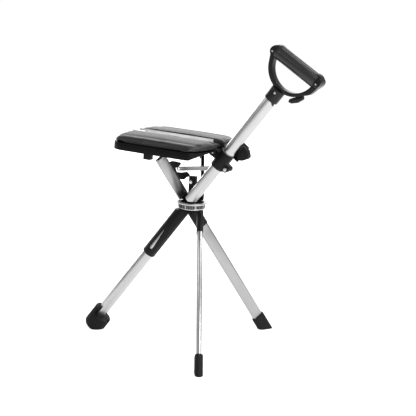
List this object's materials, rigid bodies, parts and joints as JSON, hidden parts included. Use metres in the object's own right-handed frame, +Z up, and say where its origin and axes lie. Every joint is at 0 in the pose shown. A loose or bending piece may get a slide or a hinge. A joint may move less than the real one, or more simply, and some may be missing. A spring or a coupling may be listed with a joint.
{
  "type": "folding seat cane",
  "caption": "Walking cane with a D handle that opens into a three-legged stool with a padded split seat; members cross and turn in a round hub.",
  "frame": {"origin": "on the floor under the middle of the object's own box, opened as a stool", "axes": "+Z up; the cane leans towards +X, where its handle is; the seat reaches towards -X; +Y is the side of the stay bar"},
  "size_m": [0.5764, 0.4728, 0.7277],
  "materials": {
    "silver_tube": "satin anodised",
    "black_plastic": "fine satin",
    "grip_rubber": "ribbed, soft sheen",
    "foot_rubber": "matte",
    "steel": "bright",
    "grey_steel": "satin grey",
    "ring_band": "fine ribs",
    "pad_cover": "soft grained black cover",
    "pan_plastic": "dark satin",
    "liner_grey": "plain"
  },
  "bodies": {
    "cane": {"upper_tube": "silver_tube", "main_leg_neck": "black_plastic", "main_leg_socket": "black_plastic", "main_leg_tube": "silver_tube", "main_foot": "foot_rubber", "main_foot_plug": "black_plastic", "handle_loop": "black_plastic", "grip": "grip_rubber", "grip_end_caps": "black_plastic", "handle_screws": "steel", "handle_hook": "black_plastic"},
    "hub": {"hub_core": "black_plastic", "hub_ring": "ring_band", "hub_ring_bands": "steel", "hub_flange": "grey_steel", "hub_post": "black_plastic", "hub_rivets": "steel"},
    "front_leg": {"front_leg_neck": "black_plastic", "front_leg_strut": "silver_tube", "front_strut_shoe": "black_plastic", "front_leg_socket": "black_plastic", "front_leg_tube": "silver_tube", "front_foot": "foot_rubber", "strut_rivets_front": "steel"},
    "rear_leg": {"rear_leg_neck": "black_plastic", "rear_leg_strut": "silver_tube", "rear_strut_shoe": "black_plastic", "rear_leg_socket": "black_plastic", "rear_leg_tube": "silver_tube", "rear_foot": "foot_rubber", "strut_rivets_rear": "steel", "strut_bracket": "black_plastic"},
    "collar": {"collar": "black_plastic", "collar_liner": "liner_grey", "seat_pin": "steel", "stay_pin": "steel", "lever_pin": "steel"},
    "stay": {"stay_bar": "grey_steel"},
    "lever": {"release_lever": "black_plastic"},
    "seat": {"seat_hinge_bracket": "black_plastic", "seat_front_bridge": "grey_steel", "seat_slot_rails": "silver_tube", "pan_near": "pan_plastic", "pan_far": "pan_plastic", "pad_near": "pad_cover", "pad_far": "pad_cover", "seat_clip": "black_plastic", "seat_screws": "steel"}
  },
  "joints": [
    {"name": "seat_fold", "type": "hinge", "parent": "collar", "child": "seat", "pos_m": [0.03491, -0.02925, 0.47053], "axis": [0, -1, 0], "range_deg": [0, 49.2]},
    {"name": "collar_slide", "type": "slide", "parent": "cane", "child": "collar", "axis": [0.5934, 0, 0.8049], "range_m": [0, 0.145]},
    {"name": "hub_tilt", "type": "hinge", "parent": "cane", "child": "hub", "pos_m": [-0.02902, -0.02925, 0.34], "axis": [0, 1, 0], "range_deg": [0, 34.2]},
    {"name": "front_leg_swing", "type": "hinge", "parent": "hub", "child": "front_leg", "pos_m": [-0.01214, 0, 0.34], "axis": [0.866, 0.5, 0], "range_deg": [0, 34.2]},
    {"name": "rear_leg_swing", "type": "hinge", "parent": "hub", "child": "rear_leg", "pos_m": [-0.04591, 0, 0.34], "axis": [-0.866, 0.5, 0], "range_deg": [0, 34.2]},
    {"name": "stay_swing", "type": "hinge", "parent": "collar", "child": "stay", "pos_m": [0.06578, -0.01005, 0.43286], "axis": [0, -1, 0], "range_deg": [0, 41]},
    {"name": "lever_press", "type": "hinge", "parent": "collar", "child": "lever", "pos_m": [0.06897, -0.00805, 0.46281], "axis": [0, 1, 0], "range_deg": [0, 14], "stiffness_Nm_per_rad": 0.6, "springref_deg": -14.32}
  ],
  "couplings": [
    {"joint": "collar_slide", "follows": "seat_fold", "m_per_rad": 0.16886},
    {"joint": "hub_tilt", "follows": "seat_fold", "ratio": 0.69512},
    {"joint": "front_leg_swing", "follows": "seat_fold", "ratio": 0.69512},
    {"joint": "rear_leg_swing", "follows": "seat_fold", "ratio": 0.69512},
    {"joint": "stay_swing", "follows": "seat_fold", "ratio": 0.83333}
  ]
}
